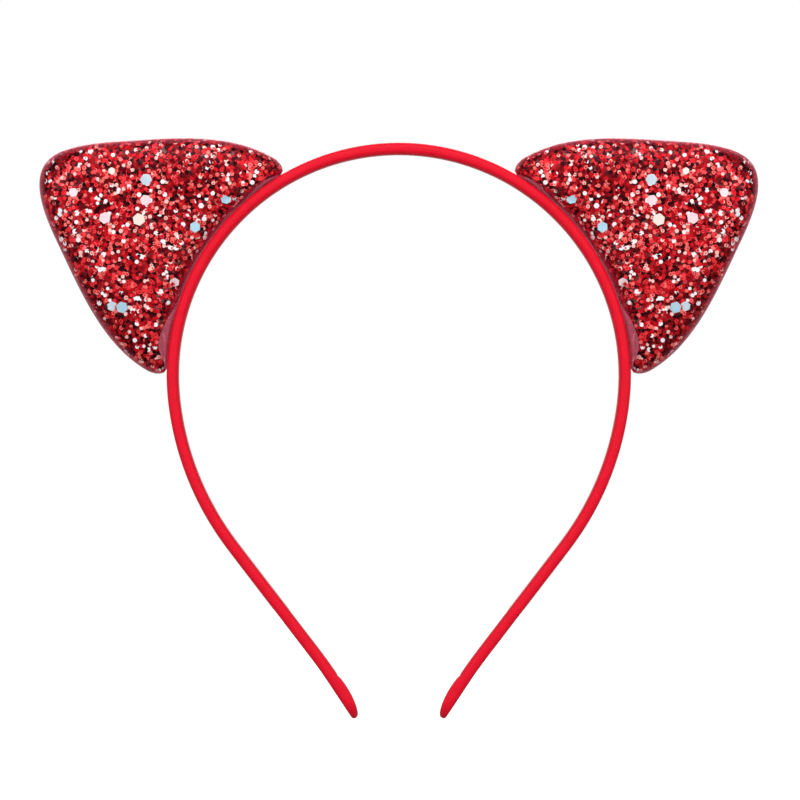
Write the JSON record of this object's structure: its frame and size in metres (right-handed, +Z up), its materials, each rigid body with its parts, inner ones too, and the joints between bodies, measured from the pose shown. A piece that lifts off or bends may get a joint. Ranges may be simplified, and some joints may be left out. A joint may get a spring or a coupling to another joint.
{
  "type": "animal ears headband",
  "caption": "Satin-covered spring headband with two padded triangular glitter ears, sprung to open over a head and grip it.",
  "frame": {"origin": "centre of the circle that the crown's inner face follows, midway front to back", "axes": "+Z up through the middle of the crown, +X to the viewer's right, +Y to the back along the clamp's axis; the front faces -Y"},
  "size_m": [0.1796, 0.012, 0.1453],
  "materials": {
    "spring_plastic": "matte",
    "satin": "satin weave, soft sheen",
    "lining_ribbon": "fine ribbed ribbon",
    "foam": "soft open foam",
    "glitter": "glitter flakes on cloth, bright metallic",
    "clear_film": "glossy clear film",
    "sequins": "iridescent pearl",
    "clear_glue": "glossy clear glue"
  },
  "bodies": {
    "crown": {"crown_core": "spring_plastic", "crown_satin_cover": "satin", "crown_lining_ribbon": "lining_ribbon"},
    "right_side": {"right_side_core": "spring_plastic", "right_side_satin_cover": "satin", "right_side_lining_ribbon": "lining_ribbon", "right_ear_foam_pad": "foam", "right_ear_front_glitter_skin": "glitter", "right_ear_back_glitter_skin": "glitter", "right_ear_front_clear_film": "clear_film", "right_ear_back_clear_film": "clear_film", "right_ear_sequins": "sequins", "right_ear_glue_bead": "clear_glue"},
    "right_arm": {"right_arm_core": "spring_plastic", "right_arm_satin_cover": "satin", "right_arm_lining_ribbon": "lining_ribbon", "right_tip_wrap": "satin"},
    "left_side": {"left_side_core": "spring_plastic", "left_side_satin_cover": "satin", "left_side_lining_ribbon": "lining_ribbon", "left_ear_foam_pad": "foam", "left_ear_front_glitter_skin": "glitter", "left_ear_back_glitter_skin": "glitter", "left_ear_front_clear_film": "clear_film", "left_ear_back_clear_film": "clear_film", "left_ear_sequins": "sequins", "left_ear_glue_bead": "clear_glue"},
    "left_arm": {"left_arm_core": "spring_plastic", "left_arm_satin_cover": "satin", "left_arm_lining_ribbon": "lining_ribbon", "left_tip_wrap": "satin"}
  },
  "joints": [
    {"name": "right_crown_flex", "type": "hinge", "parent": "crown", "child": "right_side", "pos_m": [0.01501, 0, 0.05602], "axis": [0, -1, 0], "range_deg": [-2, 15], "stiffness_Nm_per_rad": 1.3},
    {"name": "right_arm_flex", "type": "hinge", "parent": "right_side", "child": "right_arm", "pos_m": [0.05768, 0, -0.00606], "axis": [0, -1, 0], "range_deg": [-3, 15], "stiffness_Nm_per_rad": 0.7},
    {"name": "left_crown_flex", "type": "hinge", "parent": "crown", "child": "left_side", "pos_m": [-0.01501, 0, 0.05602], "axis": [0, 1, 0], "range_deg": [-2, 15], "stiffness_Nm_per_rad": 1.3},
    {"name": "left_arm_flex", "type": "hinge", "parent": "left_side", "child": "left_arm", "pos_m": [-0.05768, 0, -0.00606], "axis": [0, 1, 0], "range_deg": [-3, 15], "stiffness_Nm_per_rad": 0.7}
  ]
}
